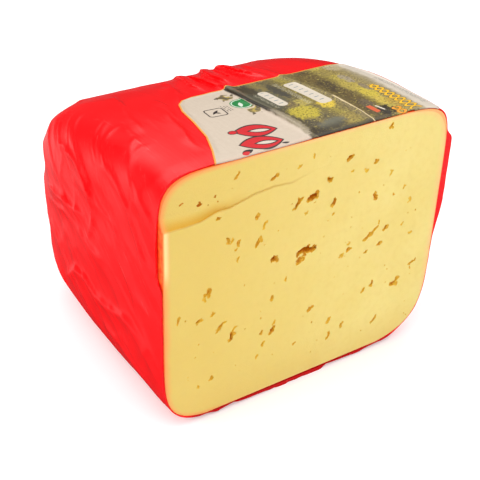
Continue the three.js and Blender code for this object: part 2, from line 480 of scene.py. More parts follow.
class Value:
    """One output of a material's nodes, with the arithmetic that the patterns are written in."""

    def __init__(self, nodes, socket):
        self.nodes = nodes
        self.socket = socket

    def math(self, operation, *others):
        return self.nodes.add("ShaderNodeMath", {"operation": operation}, [self, *others])

    def __add__(self, other):
        return self.math("ADD", other)

    def __sub__(self, other):
        return self.math("SUBTRACT", other)

    def __rsub__(self, other):
        return self.nodes.add("ShaderNodeMath", {"operation": "SUBTRACT"}, [other, self])

    def __mul__(self, other):
        return self.math("MULTIPLY", other)

    def __truediv__(self, other):
        return self.math("DIVIDE", other)

    def __pow__(self, other):
        return self.math("POWER", other)

    __radd__ = __add__
    __rmul__ = __mul__

    def abs(self):
        return self.math("ABSOLUTE")

    def sin(self):
        return self.math("SINE")

    def lowest(self, other):
        return self.math("MINIMUM", other)

    def highest(self, other):
        return self.math("MAXIMUM", other)

    def step(self, low, high):
        """0 below low and 1 above high, or the other way round where low is the higher."""
        start, end = (0.0, 1.0) if low < high else (1.0, 0.0)
        values = {"Value": self, "From Min": min(low, high), "From Max": max(low, high)}
        values.update({"To Min": start, "To Max": end})
        return self.nodes.add("ShaderNodeMapRange", {"interpolation_type": "SMOOTHSTEP"}, values)


class Nodes:
    """Builds the node tree of one material, or of the world."""

    def __init__(self, owner, shader="Principled BSDF"):
        self.owner = owner
        owner.use_nodes = True
        self.tree = owner.node_tree
        self.shader = self.tree.nodes[shader]

    def add(self, kind, settings=None, values=None, output=0):
        """Adds a node: its settings, such as a ramp's stops, first, then its sockets' values or links."""
        node = self.tree.nodes.new(kind)
        for name, setting in (settings or {}).items():
            if name == "stops":
                self.set_stops(node.color_ramp.elements, setting)
            else:
                setattr(node, name, setting)
        self.fill(node, values or {})
        return Value(self, node.outputs[output])

    def set_stops(self, elements, stops):
        elements[0].position = stops[0][0]
        elements[1].position = stops[-1][0]
        for place, _ in stops[1:-1]:
            elements.new(place)
        for element, (_, colour) in zip(elements, stops):
            element.color = colour

    def fill(self, node, values):
        pairs = values.items() if isinstance(values, dict) else enumerate(values)
        for key, value in pairs:
            if isinstance(value, Value):
                self.tree.links.new(value.socket, node.inputs[key])
            else:
                node.inputs[key].default_value = value

    def finish(self, values):
        """Fills the shader's sockets and hands back the material or world."""
        self.fill(self.shader, values)
        return self.owner

    def mix(self, factor, a, b):
        """A colour between a and b, which are nodes' outputs or sRGB colours of 0 to 255."""
        a, b = (colour if isinstance(colour, Value) else linear(*colour) for colour in (a, b))
        return self.add("ShaderNodeMix", {"data_type": "RGBA"}, {0: factor, 6: a, 7: b}, output=2)

    def noise(self, vector, scale, detail=3.0, roughness=0.5):
        values = {"Vector": vector, "Scale": scale, "Detail": detail, "Roughness": roughness}
        return self.add("ShaderNodeTexNoise", None, values)

    def split(self, vector):
        node = self.tree.nodes.new("ShaderNodeSeparateXYZ")
        self.fill(node, [vector])
        return [Value(self, socket) for socket in node.outputs]

    def ramp(self, stops, share):
        """A colour ramp's colour where a share lies between its stops."""
        return self.add("ShaderNodeValToRGB", {"stops": stops}, [share])

    def join(self, x, y, z):
        return self.add("ShaderNodeCombineXYZ", None, [x, y, z])

    def stretched(self, vector, factors):
        return self.add("ShaderNodeVectorMath", {"operation": "MULTIPLY"}, [vector, factors])

    def block_place(self):
        """Object coordinates in the block's frame, in millimetres."""
        place = self.add("ShaderNodeTexCoord", output="Object")
        place = self.add("ShaderNodeVectorMath", {"operation": "SUBTRACT"}, [place, CUT_MIDDLE])
        return self.add("ShaderNodeVectorMath", {"operation": "SCALE"}, {0: place, "Scale": 1 / MM})

    def bump(self, height, distance, strength=1.0):
        values = {"Height": height, "Distance": distance * MM, "Strength": strength}
        return self.add("ShaderNodeBump", None, values)


class Paint:
    """A colour that others are laid over, one by one, each as far as its mask says."""

    def __init__(self, nodes, colour):
        self.nodes = nodes
        self.colour = colour

    def over(self, mask, colour):
        self.colour = self.nodes.mix(mask, self.colour, colour)


def linear(red, green, blue):
    """An sRGB colour of 0 to 255 as the linear colour that the sockets take."""
    channels = [c / 255 for c in (red, green, blue)]
    return [c / 12.92 if c <= 0.04045 else ((c + 0.055) / 1.055) ** 2.4 for c in channels] + [1.0]


# ---------- materials ----------

def new_material(name):
    return Nodes(bpy.data.materials.new(name))


def cheese_colour(nodes, place):
    """Pale yellow paste with slow cloudy changes, and a rim that took colour from the film, with a painted
    red glow from the film, painted shade and a painted highlight.
    """
    x, y, z = nodes.split(place)
    cloud = nodes.noise(place, 0.03, detail=2.0)
    mottle = nodes.noise(place, 0.3, detail=4.0)
    # Darker and more orange at the left, paler at the right: partly the paste's own tone, partly painted
    # shade and light.
    paint = Paint(nodes, nodes.mix(x.step(-75, 50), (230, 199, 105), (241, 219, 135)))
    paint.over(cloud.step(0.35, 0.7) * 0.4, (233, 205, 113))
    paint.over(mottle.step(0.4, 0.75) * 0.2, (226, 196, 107))
    paint.over(z.step(-40, -62) * 0.3, (232, 194, 104))

    # Where the second cut curves in to its ledge it is painted darker gold as painted shade in the hollow,
    # with a thin painted shadow line along the ledge.
    low_x, high_x = LEDGE_LINE[0][0], LEDGE_LINE[-1][0]
    low_z, high_z = LEDGE_LINE[0][1] - 1, LEDGE_LINE[-1][1]
    stops = []
    for line_x, line_z in LEDGE_LINE:
        level = (line_z - low_z) / (high_z - low_z)
        stops.append(((line_x - low_x) / (high_x - low_x), (level, level, level, 1)))
    ledge = nodes.ramp(stops, (x - low_x) / (high_x - low_x))
    above = z - (ledge * (high_z - low_z) + low_z)
    # Painted shadow: a thin brown line along the ledge.
    line = above.step(1.1, 0.2) * above.step(-0.7, -0.1) * x.step(0, -20)
    paint.over(line * 0.5, (208, 166, 84))
    # Painted shade: darker gold in the hollow above the ledge, at the left.
    painted_ledge_shade = above.step(5.0, 0.0) * above.step(-1.5, -0.5) * y.step(0.1, 0.5)
    paint.over(painted_ledge_shade * x.step(-30, -58) * 0.95, (220, 166, 48))

    from_side = HALF_WIDTH - x.abs()
    from_top = HALF_HEIGHT - z.abs()
    outline = ((x / HALF_WIDTH).abs() ** 8.0 + (z / HALF_HEIGHT).abs() ** 8.0) ** 0.125
    from_corner = (1.0 - outline) * HALF_HEIGHT
    left = x.step(-10, -60)
    reach = 3.0 + 3.0 * nodes.noise(place, 0.06)
    rim = ((reach - from_side) / 5.0).step(0.0, 0.95)
    rim = rim.highest(from_top.step(1.3, 0.1)).highest(from_corner.step(2.8, 0.1))
    # The rim took colour from the film and also carries a painted red glow from it, more at the left.
    rim_tint_and_glow = nodes.mix(left, (255, 196, 136), (252, 158, 88))
    paint.over(rim * (0.55 + 0.35 * left), rim_tint_and_glow)

    # Beside the torn film a pale strip is painted on the face: a painted highlight where its rounded edge
    # catches the light.
    torn = z.step(FILM_TORN_TO - 4, FILM_TORN_TO + 8) * above.step(0.5, -1.0) * x.step(-60, -66)
    torn = torn * from_side.step(3.8, 1.4) * from_side.step(0.3, 1.2)
    paint.over(torn, (250, 224, 156))
    # Along the face's edges a deeper red-orange, partly colour from the film and partly a painted red glow
    # from it, more at the left.
    edge = from_side.step(0.7, 0.2).highest(from_corner.step(0.5, 0.1)).highest(from_top.step(0.3, 0.0))
    paint.over(edge * (0.35 + 0.35 * left), (255, 112, 44))
    return paint.colour, mottle


def cheese_paste():
    nodes = new_material("cheese_paste")
    place = nodes.block_place()
    colour, mottle = cheese_colour(nodes, place)
    nodes.fill(nodes.shader, {
        "Base Color": colour,
        "Roughness": 0.45 + 0.12 * mottle,
        "Subsurface Weight": 0.25,
        "Subsurface Radius": (1.0, 0.6, 0.2),
        "Subsurface Scale": 3 * MM,
        "Specular IOR Level": 0.25,
    })
    drag = nodes.noise(nodes.stretched(place, (0.05, 1.0, 1.2)), 1.0)
    grain = nodes.noise(place, 1.3, detail=4.0)
    return nodes.finish({"Normal": nodes.bump(drag * 0.5 + grain * 0.5, 0.22)})


def cheese_side():
    """The outside of the cheese, which shows where the film is torn back: orange-red, partly colour it
    took from the film and partly a painted red glow from the film.
    """
    nodes = new_material("cheese_side")
    place = nodes.block_place()
    stain_and_glow = nodes.noise(place, 0.4)
    return nodes.finish({
        # Two orange-reds, partly the film's tint and partly a painted red glow.
        "Base Color": nodes.mix(stain_and_glow.step(0.35, 0.65), (255, 102, 30), (248, 60, 14)),
        "Roughness": 0.5,
        "Specular IOR Level": 0.25,
    })


def cheese_eye_wall():
    """The shiny walls of the eyes, deeper in colour than the cut paste and painted darker further in as
    painted shade, with a faint painted glow.
    """
    nodes = new_material("cheese_eye_wall")
    place = nodes.block_place()
    _, y, _ = nodes.split(place)
    mottle = nodes.noise(place, 0.8, detail=3.0)
    return nodes.finish({
        # Painted shade: darker and more orange further into the eye.
        "Base Color": nodes.mix((y + mottle).step(0.6, 2.6), (228, 186, 62), (200, 118, 8)),
        "Roughness": 0.4 + 0.1 * mottle,
        "Specular IOR Level": 0.2,
        "Subsurface Weight": 0.3,
        "Subsurface Radius": (1.0, 0.6, 0.15),
        "Subsurface Scale": 3 * MM,
        # A faint painted glow that stands in for light coming through the paste.
        "Emission Color": linear(220, 130, 10),
        "Emission Strength": 0.05,
    })


def red_film():
    """Bright red shrink film, glossy, with fine streaks that are too small to model, painted highlights
    along some of them and painted shade under the block.
    """
    nodes = new_material("red_film")
    place = nodes.block_place()
    x, y, z = nodes.split(place)
    cloud = nodes.noise(place, 0.025, detail=2.0)
    along_top = nodes.noise(nodes.join(x * 0.55, y * 0.05, z * 0.3), 1.0, detail=4.0, roughness=0.6)
    pulled = nodes.join(x * 0.3, (y * 0.64 - z * 0.77) * 0.5, (y * 0.77 + z * 0.64) * 0.05)
    down_side = nodes.noise(pulled, 1.0, detail=4.0, roughness=0.6)
    on_side = x.abs().step(HALF_WIDTH - 8, HALF_WIDTH - 2)
    streaks = along_top + (down_side - along_top) * on_side
    paint = Paint(nodes, nodes.mix(cloud.step(0.35, 0.7), (240, 4, 12), (248, 10, 18)))
    # Painted shade: the film under the block's edge is painted deep red.
    paint.over(z.step(-60, -62.5) * 0.7, (176, 0, 4))
    # Painted highlights: paler pink along some of the streaks.
    paint.over(streaks.step(0.58, 0.7) * cloud.step(0.42, 0.6) * 0.35, (255, 76, 76))
    return nodes.finish({
        "Base Color": paint.colour,
        "Roughness": 0.17 + 0.14 * cloud,
        "Specular IOR Level": 0.42,
        "Normal": nodes.bump(streaks, 0.22, 0.5),
    })


class LabelPlace:
    """Where a point lies on the label, in millimetres: u to the right, v back from the cut."""

    def __init__(self, nodes):
        self.nodes = nodes
        self.vector = nodes.add("ShaderNodeUVMap", {"uv_map": "label_mm"})
        self.u, self.v, _ = nodes.split(self.vector)
        self.from_edge, _, _ = nodes.split(nodes.add("ShaderNodeUVMap", {"uv_map": "edge_mm"}))

    def turned(self, centre, degrees):
        """Distances along and across a mark that lies at an angle."""
        c, s = math.cos(math.radians(degrees)), math.sin(math.radians(degrees))
        du, dv = self.u - centre[0], self.v - centre[1]
        return du * c + dv * s, dv * c - du * s

    def box(self, centre, half_along, half_across, corner, degrees=0.0):
        """Distance to a box with round corners, negative inside."""
        along, across = self.turned(centre, degrees)
        x = (along.abs() - (half_along - corner)).highest(0.0)
        y = (across.abs() - (half_across - corner)).highest(0.0)
        return (x * x + y * y) ** 0.5 - corner

    def oval(self, centre, half_along, half_across, degrees=0.0):
        """Distance from the centre, 1 on the oval's edge."""
        along, across = self.turned(centre, degrees)
        x, y = along / half_along, across / half_across
        return (x * x + y * y) ** 0.5

    def leaf(self, centre, half_along, half_across, degrees):
        """A pointed leaf, 1 on its edge."""
        along, across = self.turned(centre, degrees)
        x = along / half_along
        return across.abs() / half_across + x * x

    def lines(self, low, high, count, ends):
        """Fine lines along v between two values of u, broken here and there."""
        share = (self.u - low) / (high - low)
        waves = (share * (count * math.tau)).sin()
        broken = self.nodes.noise(self.vector, 0.9, detail=1.0).step(0.42, 0.5)
        inside = share.step(-0.01, 0.0) * share.step(1.01, 1.0) * self.v.step(ends[0], ends[0] + 0.3)
        return waves.step(0.1, 0.5) * inside * self.v.step(ends[1] + 0.3, ends[1]) * broken


# The painted meadow from the pleat to the sky at the label's right end: (u, colour).
MEADOW = [
    (-8, (70, 62, 46)), (0, (92, 82, 60)), (3, (86, 76, 54)), (8, (128, 112, 62)), (13, (98, 88, 60)),
    (18, (116, 102, 58)), (22, (152, 136, 60)), (27, (122, 106, 62)), (31, (106, 90, 52)),
    (36, (78, 64, 36)), (40, (112, 96, 48)), (44, (164, 146, 66)), (47, (178, 158, 66)),
    (50, (146, 128, 80)), (54, (148, 132, 90)), (57, (160, 146, 116)), (60, (206, 194, 176)),
    (70, (222, 210, 196)),
]

# Trees, fields and shadows in the meadow: (u, v, half width, half length, colour, how strong).
PATCHES = [
    (-3, 16, 3.2, 15, (166, 152, 128), 0.85), (8.5, 22, 7, 7.5, (184, 166, 54), 0.95),
    (22, 24, 4, 4.5, (214, 184, 60), 0.95), (14, 31, 4, 4, (176, 158, 80), 0.8),
    (21.7, 7.5, 4.5, 5, (148, 128, 66), 0.8), (3, 3, 4.4, 4, (54, 44, 28), 0.95),
    (5, 11, 3.4, 3.6, (78, 70, 54), 0.85), (3, 42, 8, 13, (84, 82, 66), 0.85),
    (12.4, 47, 2.6, 9, (66, 62, 52), 0.9), (1.6, 56, 3.4, 7, (60, 50, 32), 0.85),
    (8, 31, 3, 4, (112, 94, 66), 0.7), (35.5, 41, 3.2, 10, (72, 58, 34), 0.9),
    (37, 27, 3, 8, (96, 78, 38), 0.85), (37, 15, 3, 5, (98, 82, 60), 0.8),
    (44, 35, 3.6, 7, (172, 152, 68), 0.85), (46.4, 24, 3.8, 8, (196, 174, 60), 0.95),
    (46, 14.5, 3.4, 5, (196, 170, 68), 0.9), (48.4, 44, 2.4, 6, (158, 144, 122), 0.85),
    (49.4, 31, 2, 4.5, (136, 120, 96), 0.85), (34, 53, 6, 6, (104, 86, 44), 0.85),
    (46, 55, 5, 5, (140, 122, 68), 0.8), (54, 60, 5, 5, (180, 164, 128), 0.85),
    (40.6, 5.4, 4.4, 4.6, (44, 34, 24), 0.95), (50, 11, 3.6, 5, (176, 144, 54), 0.8),
]


def meadow(nodes, place):
    speckle = nodes.noise(place.vector, 1.0, detail=3.0, roughness=0.7)
    clumps = nodes.noise(place.vector, 0.4, detail=4.0, roughness=0.6)
    drift = nodes.noise(place.vector, 0.09, detail=2.0)
    low, high = MEADOW[0][0], MEADOW[-1][0]
    stops = [((u - low) / (high - low), linear(*colour)) for u, colour in MEADOW]
    share = (place.u + 5.0 * (drift - 0.5) + 4.0 * (clumps - 0.5) - low) / (high - low)
    paint = Paint(nodes, nodes.ramp(stops, share))
    for u, v, wide, long, tint, strength in PATCHES:
        blob = place.oval((u, v), wide, long) + 2.0 * (clumps - 0.5) + 1.0 * (speckle - 0.5)
        paint.over(blob.step(1.15, 0.8) * strength, tint)
    smooth = place.oval((4, 46), 12, 14).step(1.15, 0.85)
    leaves = place.u.step(-6, 4) * place.u.step(60, 52) * (1.0 - smooth * 0.8)
    paint.over(speckle.step(0.47, 0.38) * 0.75 * leaves, (42, 36, 22))
    sunlit = clumps.step(0.44, 0.6) * leaves
    paint.over(speckle.step(0.54, 0.62) * 0.6 * sunlit, (216, 196, 100))

    water = (place.oval((12, 6.5), 8.5, 4.4, 20) + 1.2 * (clumps - 0.5)).step(1.2, 0.6)
    water_colour = nodes.mix(place.v.step(9, 3), (104, 102, 86), (62, 56, 42))
    paint.over(water * 0.9, water_colour)
    bank = place.v.step(3.4, 0.6) * place.u.step(0, 4) * place.u.step(38, 28)
    paint.over(bank * 0.85, (44, 36, 24))

    path = (place.u - 29.6 - 0.6 * (drift - 0.5)).abs().step(0.42, 0.2) * place.v.step(30, 28)
    paint.over(path, (206, 184, 140))
    hut = place.box((36.0, 9.0), 1.1, 3.4, 0.4, 4.0) + 1.2 * (clumps - 0.5)
    paint.over(hut.step(0.4, 0.0), (204, 90, 48))
    paint.over(place.box((39.4, 8.6), 0.3, 2.6, 0.2, 14.0).step(0.25, 0.0), (210, 198, 178))
    return paint.colour


def braid(paint, place, at_cut, lean, amplitude, ends, tint):
    """Two strands that wind round each other away from the cut, with a dark edge."""
    reach = place.v.step(ends[0], ends[0] + 0.8) * place.v.step(ends[1] + 0.8, ends[1])
    sway = (place.v * (math.tau / 6.8)).sin() * (amplitude - 0.04 * place.v)
    middle = place.u - at_cut - lean * place.v
    strand = (middle - sway).abs().lowest((middle + sway).abs())
    paint.over(strand.step(1.35, 1.05) * reach, (74, 50, 22))
    paint.over(strand.step(0.95, 0.7) * reach, tint)


def label_print():
    """A glossy printed label: cream with red leaves at the left, a painted meadow at the right."""
    nodes = new_material("label_print")
    place = LabelPlace(nodes)
    u, v = place.u, place.v
    fibre = nodes.noise(place.vector, 0.5, detail=4.0)
    cream = nodes.mix(fibre, (192, 175, 156), (201, 186, 168))
    cream = nodes.mix(v.step(2.5, 0.0) * 0.35, cream, (204, 170, 150))

    # The picture starts under the large pleat at the back and runs clear of it towards the cut.
    tatter = nodes.noise(place.vector, 0.3, detail=4.0)
    starts = -4.4 - 2.0 * v.step(20, 44) + 2.4 * (tatter - 0.5) * v.step(40, 24)
    picture = u - starts
    paint = Paint(nodes, nodes.mix(picture.step(-0.3, 1.0), cream, meadow(nodes, place)))
    # Along the pleat: a painted highlight on its rolled top and a painted shadow under its overhang.
    lit = (picture - 3.0).abs().step(1.6, 0.4) * v.step(26, 34)
    paint.over(lit * 0.5, (138, 132, 110))
    shade = picture.step(2.0, 0.6) * picture.step(-0.5, 0.3) * v.step(20, 34)
    paint.over(shade * 0.9, (30, 24, 16))

    ink = (46, 34, 30)
    red = (196, 22, 30)
    for centre, length, breadth, turn, heart in (
        ((-20.2, 17.2), 8.8, 5.0, -18, (-18.6, 16.4)),
        ((-24.2, 6.6), 9.0, 5.0, -12, (-22.4, 5.8)),
    ):
        petal = place.leaf(centre, length, breadth, turn)
        paint.over(petal.step(1.26, 1.16), ink)
        paint.over(petal.step(1.06, 0.98), red)
        inner = place.leaf(heart, 4.4, 1.3, turn)
        paint.over(inner.step(1.6, 1.4), ink)
        paint.over(inner.step(1.0, 0.9), (206, 192, 176))
    seed = place.oval((-29.4, 20.0), 1.8, 1.5)
    paint.over(seed.step(1.3, 1.15), ink)
    paint.over(seed.step(1.0, 0.9), red)

    # A small frame with fine lines beside it, then the sprig in it and the small leaves near the cut.
    frame_edge = place.box((-24.2, 41.4), 4.2, 4.0, 1.3, -6.0).abs()
    paint.over(frame_edge.step(0.4, 0.2), ink)
    paint.over(place.lines(-19.1, -15.5, 3, (39.3, 46.3)) * 0.8, ink)
    for centre, length, breadth, turn, tint in (
        ((-24.3, 41.6), 2.6, 0.7, 38, ink),
        ((-23.9, 40.8), 1.9, 0.6, -50, ink),
        ((-33.6, 2.4), 3.0, 1.5, 10, ink),
        ((-34.8, 1.6), 2.0, 1.2, 10, red),
        ((-15.8, 1.8), 1.8, 0.7, -12, ink),
    ):
        paint.over(place.leaf(centre, length, breadth, turn).step(1.1, 0.9), tint)

    # A green button, half under the pleat, and sprigs of leaves.
    button = place.oval((-9.2, 44.0), 5.4, 5.4) + 2.0 * picture.step(-0.6, -0.2)
    for at in ((-11.5, 54), (-8.4, 35.5)):
        sprig = (place.oval(at, 3.6, 3.8) + 3.6 * (tatter - 0.5)).step(1.0, 0.8)
        twigs = nodes.mix(tatter.step(0.4, 0.6), (70, 60, 34), (176, 150, 52))
        paint.over(sprig * picture.step(0.0, -0.4) * 0.9, twigs)
    paint.over(button.step(1.03, 0.97), (22, 120, 56))
    paint.over((button - 0.86).abs().step(0.07, 0.03), (206, 214, 200))
    mark = place.leaf((-10.4, 43.2), 2.6, 1.0, 70) + 2.0 * picture.step(-0.6, -0.2)
    paint.over(mark.step(1.1, 0.9), (206, 214, 200))

    # Two pale windows with small blue strokes, and fine lines between them.
    for low, high, ends in ((15.2, 18.0, (28, 56)), (0.4, 2.4, (31, 49))):
        paint.over(place.lines(low, high, 3, ends) * 0.75, (190, 182, 156))
    for centre, half_u, half_v, turn in (((5.4, 41.4), 2.5, 9.4, 1.0), ((22.9, 39.2), 3.4, 14.2, 3.0)):
        window = place.box(centre, half_u, half_v, 2.2, turn)
        paint.over(window.step(0.25, -0.1), (206, 194, 176))
        along, across = place.turned(centre, turn)
        strokes = (across * (math.tau / 3.6)).sin().step(0.82, 0.95) * along.abs().step(1.3, 1.1)
        paint.over(strokes * window.step(-1.0, -1.4) * 0.8, (70, 104, 118))

    # Yellow braids with a dark edge near the right end, and fine grey lines beyond them.
    braid(paint, place, 46.0, 0.0, 2.0, (-1.0, 6.0), (228, 150, 34))
    braid(paint, place, 54.2, -0.035, 3.0, (1.0, 31.0), (238, 184, 36))
    paint.over(place.lines(62.4, 66.4, 4, (6, 40)) * 0.8, (110, 112, 108))

    rim = nodes.mix(u.step(60, 66), (222, 156, 66), (214, 96, 84))
    paint.over(place.from_edge.step(0.95, 0.6), rim)

    nodes.fill(nodes.shader, {
        "Base Color": paint.colour,
        "Roughness": 0.3 + 0.12 * fibre,
        "Specular IOR Level": 0.4,
    })
    crease = nodes.noise(nodes.stretched(place.vector, (0.5, 0.1, 1)), 1.0)
    return nodes.finish({"Normal": nodes.bump(crease * 0.8 + fibre * 0.2, 0.25, 0.6)})


def floor_paint():
    nodes = new_material("floor_paint")
    return nodes.finish({
        "Base Color": linear(228, 228, 228),
        "Roughness": 0.9,
        "Specular IOR Level": 0.1,
        "Emission Color": linear(255, 255, 255),
        "Emission Strength": 0.3,
    })


# ---------- the film ----------

def film_place(lift):
    """Where the film's grid points go, at a distance from the cheese, from its torn edge to the back."""
    def place(angle, share):
        at_cut = section_points(angle)
        edge = (film_edge(at_cut) + LABEL_OVERHANG * under_label(at_cut)) / DEPTH
        return block_points(angle, edge + (1 - edge) * share, lift)
    return place


def film_wrap():
    skin = wrapped(500, 180, film_place(FILM_LIFT))
    points, normals = points_and_normals(skin)
    covered = under_label(points)[:, None]
    points = points + film_relief(points, normals) * (1 - 0.8 * covered) - 0.25 * covered * normals
    points[:, 2] = np.maximum(points[:, 2], FLOOR)
    set_points(skin, points)

    inner = wrapped(60, 30, film_place(FILM_INNER_LIFT))
    bmesh.ops.reverse_faces(inner, faces=inner.faces)
    inner_mesh = bpy.data.meshes.new("inner")
    inner.to_mesh(inner_mesh)
    inner.free()
    skin.from_mesh(inner_mesh)
    rims = [e for e in skin.edges if e.is_boundary]
    bmesh.ops.bridge_loops(skin, edges=rims)
    made = piece(skin, "red_film", [red_film()])
    made.data.set_sharp_from_angle(angle=math.radians(50))
    return made


# ---------- the label ----------

def label():
    bm, across, along = grid(180, 90)
    run = along * LABEL_LENGTH
    left = read_between(LABEL_LEFT_EDGE, run)
    u = left + (LABEL_RIGHT_END - left) * across

    # u is measured along the outline, so the angle follows from the outline's length.
    upper_half = even_steps(section_points, 0, math.pi, np.linspace(0, 1, 2001))
    outline = section_points(upper_half)
    walked = np.concatenate([[0], np.cumsum(np.linalg.norm(np.diff(outline, axis=0), axis=1))])
    top_middle = np.interp(0, outline[::-1, 0], walked[::-1])
    angle = np.interp(top_middle - u, walked, upper_half)
    edge = film_edge(section_points(angle)) - 0.2
    share = (edge + (LABEL_LENGTH - edge) * along) / DEPTH
    set_points(bm, block_points(angle, share, FILM_LIFT))
    points, normals = points_and_normals(bm)
    if normals[:, 2].sum() < 0:
        bmesh.ops.reverse_faces(bm, faces=bm.faces)
        normals = -normals
    moved = film_relief(points, normals)
    lift = LABEL_LIFT - LABEL_DIP * smoothstep(1.4, 0, points[:, 1] - edge)
    set_points(bm, points + moved + lift[:, None] * normals)

    from_edge = np.minimum(np.minimum(u - left, LABEL_RIGHT_END - u), LABEL_LENGTH - run)
    place_layer = bm.loops.layers.uv.new("label_mm")
    edge_layer = bm.loops.layers.uv.new("edge_mm")
    bm.verts.ensure_lookup_table()
    for face in bm.faces:
        for loop in face.loops:
            loop[place_layer].uv = (u[loop.vert.index], run[loop.vert.index])
            loop[edge_layer].uv = (from_edge[loop.vert.index], 0)
    made = piece(bm, "top_label", [label_print()])
    solid = made.modifiers.new("thickness", "SOLIDIFY")
    solid.thickness = LABEL_WALL * MM
    solid.offset = -1
    apply_modifiers(made)
    return made


# ---------- the cheese ----------

# Eyes in the cut face: x, z, length, breadth, lean from the level and how deep (1 is a full eye).
EYES = [
    (-40, 56, 4.2, 1.4, 45, 0.5), (-22, 50, 5, 1.9, 30, 0.8), (-9, 52, 2.1, 1.7, 0, 0.5),
    (-2, 55, 2.6, 1.4, 70, 0.4), (18, 49, 4.6, 2.8, 35, 1), (20, 42, 2.1, 1.5, 20, 0.3),
    (28, 40, 2.6, 2.4, 0, 0.2), (33, 43, 3.4, 2.2, 60, 0.9), (43, 35, 3.8, 1.5, 75, 0.3),
    (8, 41, 3.4, 3.2, 0, 1.2), (-57, 47, 2.2, 1.9, 30, 0.8), (-50, 49, 1.8, 1.2, 80, 0.8),
    (-65, 49, 2.2, 0.8, 50, 0.4), (-49, 39, 2.3, 2, 140, 1.2), (-30, 34, 3.6, 2.4, 60, 0.8),
    (-26, 29, 4, 1.7, 65, 0.6), (-44, 27, 4.4, 2, 120, 0.7), (-42, 26, 3, 1.5, 50, 0.6),
    (-39, 24, 4, 2.2, 80, 0.8), (-40, 21, 1.9, 1.4, 10, 0.7), (-29, 21, 6, 2.4, 62, 0.8),
    (-39, 16, 3.8, 1.4, 65, 0.5), (-20, 10, 4.5, 4.3, 0, 1.3), (-4, 9, 8.5, 3.6, 12, 1.4),
    (-1, 8, 7.4, 3.6, 0, 1.2), (-6, 4.5, 5, 4, 30, 0.8), (-1, 35, 6.2, 4.4, 15, 1),
    (-9, 34, 7, 2.6, 58, 0.9), (-4, 28, 2.1, 1.6, 0, 0.5), (11, 29, 4.9, 2.9, 65, 1),
    (11, 23, 2.2, 1.4, 60, 0.6), (35, 25, 4.9, 2.7, 120, 0.9), (35.6, 24, 2.4, 1.8, 120, 1.3),
    (46, 23, 2.1, 1.3, 110, 0.7), (52, 25, 3, 1.1, 62, 0.4), (57, 17, 3.6, 2, 80, 0.2),
    (39, 10, 2.3, 1.2, 70, 0.5), (44, 6, 3.9, 3, 60, 0.9), (33, 4.2, 6.5, 2.6, 35, 0.8),
    (37, 7, 6, 1.6, 40, 0.7), (54, 5, 2.5, 1.1, 45, 0.4), (60, -2, 3.2, 1.6, 10, 0.5),
    (41, -2, 3.4, 2.5, 60, 0.8), (22, 4, 2.4, 1.4, 40, 0.5), (22, 1, 3.4, 2.8, 45, 0.9),
    (18, -1, 2.8, 2.2, 0, 0.5), (33, -4, 2.5, 1.8, 70, 0.8), (64, -20, 5.2, 1.8, 20, 1),
    (-13, -3, 3, 1.4, 75, 0.5), (39, -24, 3.9, 2.4, 80, 1.1), (53, -29, 5.4, 3.6, 10, 0.6),
    (55, -27, 4.6, 2.4, 60, 0.7), (34, -26, 3.4, 1.9, 80, 0.6), (-53, 4, 5.4, 2.8, 50, 0.8),
    (-55, 1, 3, 1.8, 120, 0.5), (-20, -11, 3.1, 2.2, 50, 0.8), (-51, -8, 3.2, 1.8, 65, 0.7),
    (-58, -9, 4.6, 2, 28, 0.8), (-47, -16, 6.2, 2.2, 48, 0.8), (-68, -5, 4.6, 1.6, 85, 0.6),
    (-41, -24, 5.2, 2.8, 85, 1), (-40, -20, 4, 1.7, 60, 0.6), (-19, -29, 4.4, 3, 80, 1.2),
    (-18, -25, 3, 1.8, 70, 0.6), (-25, -28, 3.4, 2.2, 60, 0.8), (-24, -35, 3.4, 1.8, 75, 0.7),
    (2, -25, 3.9, 2.9, 60, 0.9), (14, -36, 4, 2.7, 70, 0.7), (22, -42, 3.6, 2.2, 75, 0.8),
    (15, -45, 5, 1.8, 78, 0.8), (-6, -42, 2.5, 1.5, 30, 0.8), (43, -47, 5.6, 2, 50, 0.8),
    (-27, -41, 2.9, 1.5, 65, 0.6), (-51, -43, 3.5, 2.3, 80, 0.7), (-58, -45, 2.2, 1.4, 70, 0.8),
    (40, 59, 3, 2.2, 75, 0.8),
]
TINY_EYES = 60
WIDE_FLAT = 20  # a face of this many square millimetres belongs to the flat of the cut

PASTE, EYE_WALL, SIDE = range(3)  # the cheese's materials


def add_lump(bm, x, z, length, breadth, lean, reach):
    """Adds one uneven ball to the cutter, half sunk in the cut face."""
    subdivisions = 3 if length > 3.5 else 2
    ball = bmesh.ops.create_icosphere(bm, subdivisions=subdivisions, radius=1)["verts"]
    seed = Vector((x, z, lean))
    size = Matrix.Diagonal((length / 2, reach, breadth / 2, 1))
    turn = Matrix.Rotation(math.radians(-lean), 4, "Y")
    place = Matrix.Translation((x, deeper_by(x, z) + 0.12 * reach, z))
    for vert in ball:
        uneven = 0.5 * noise.noise(vert.co * 1.6 + seed) + random.uniform(-0.17, 0.17)
        vert.co = place @ turn @ size @ (vert.co * (1 + uneven))


def add_eye(bm, x, z, length, breadth, lean, deep):
    """Adds one torn hollow: a main lump with smaller ones broken into its sides."""
    reach = max(0.42 * math.sqrt(length * breadth) * deep, 0.3)
    add_lump(bm, x, z, 0.8 * length, 0.8 * breadth, lean, reach)
    if length < 1.6:
        return
    along = Vector((math.cos(math.radians(lean)), math.sin(math.radians(lean))))
    across = Vector((-along.y, along.x))
    for side in (-1, 1, random.choice((-1, 1))):
        part = random.uniform(0.3, 0.55)
        at = Vector((x, z)) + along * side * random.uniform(0.2, 0.4) * length
        at += across * random.uniform(-0.45, 0.45) * breadth
        turned = lean + random.uniform(-70, 70)
        add_lump(bm, at.x, at.y, part * length, part * breadth * 1.4, turned, reach * part)


